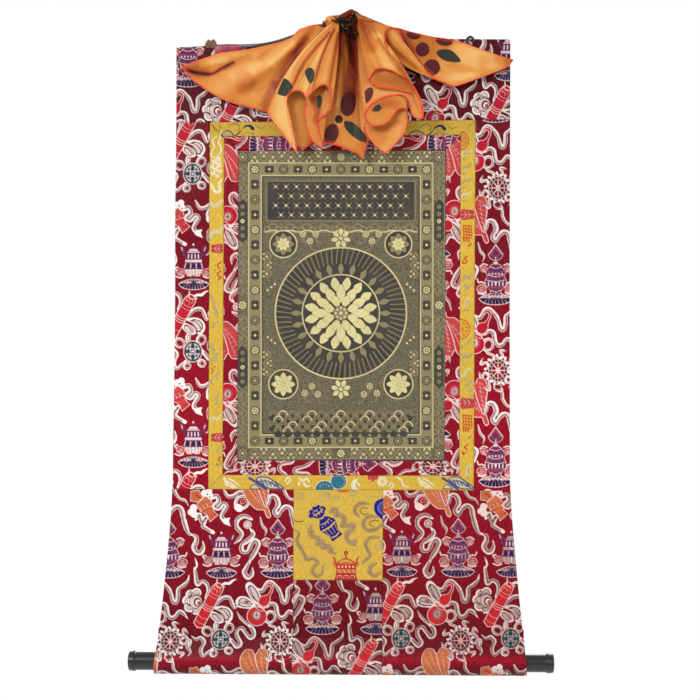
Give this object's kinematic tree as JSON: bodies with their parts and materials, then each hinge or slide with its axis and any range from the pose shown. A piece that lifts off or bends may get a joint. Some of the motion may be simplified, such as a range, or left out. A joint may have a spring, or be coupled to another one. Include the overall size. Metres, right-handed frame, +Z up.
{
  "type": "thangka scroll painting in a brocade mount with its roller",
  "caption": "Hanging scroll: painted cloth in red and yellow brocade borders, gathered orange silk veil at the head, black-ended roller in the foot, on a cord.",
  "frame": {"origin": "hanging point: top of the cord's bend, in the plane of the cloth", "axes": "+Z up, +X to the right as seen from the front, the front faces -Y"},
  "size_m": [0.6101, 0.0668, 0.952],
  "materials": {
    "red_brocade": "red satin ground with woven auspicious motifs in purple, teal, navy, peach and silver",
    "yellow_brocade": "golden yellow satin ground with woven motifs in navy, grey and orange",
    "painted_cloth": "matt cloth printed or painted in dark olive and pale gold linework",
    "orange_silk": "soft sheen habotai silk with printed flowers and a red overcast hem",
    "red_satin": "plain red satin",
    "ribbon_brocade": "narrow woven ribbon in brown, gold and green",
    "dark_cord": "dark twisted cord with grey and gold flecks",
    "pole_wood": "plain wood, hidden in the pocket",
    "black_gloss": "turned wood in gloss black lacquer"
  },
  "bodies": {
    "root": {"panel_top": "red_brocade", "panel_left": "red_brocade", "panel_right": "red_brocade", "panel_bottom_left": "red_brocade", "panel_bottom_centre": "red_brocade", "panel_bottom_right": "red_brocade", "border_yellow_top": "yellow_brocade", "border_yellow_bottom": "yellow_brocade", "border_yellow_left": "yellow_brocade", "border_yellow_right": "yellow_brocade", "border_red_top": "red_brocade", "border_red_bottom": "red_brocade", "border_red_left": "red_brocade", "border_red_right": "red_brocade", "painting": "painted_cloth", "door_patch": "yellow_brocade", "veil": "orange_silk", "veil_tie": "dark_cord", "hang_cord": "dark_cord", "cord_sleeve_left": "red_satin", "ribbon_tab_left": "ribbon_brocade", "cord_loop_right": "dark_cord", "roller_pole": "pole_wood", "roller_knob_left": "black_gloss", "roller_knob_right": "black_gloss"}
  },
  "joints": []
}
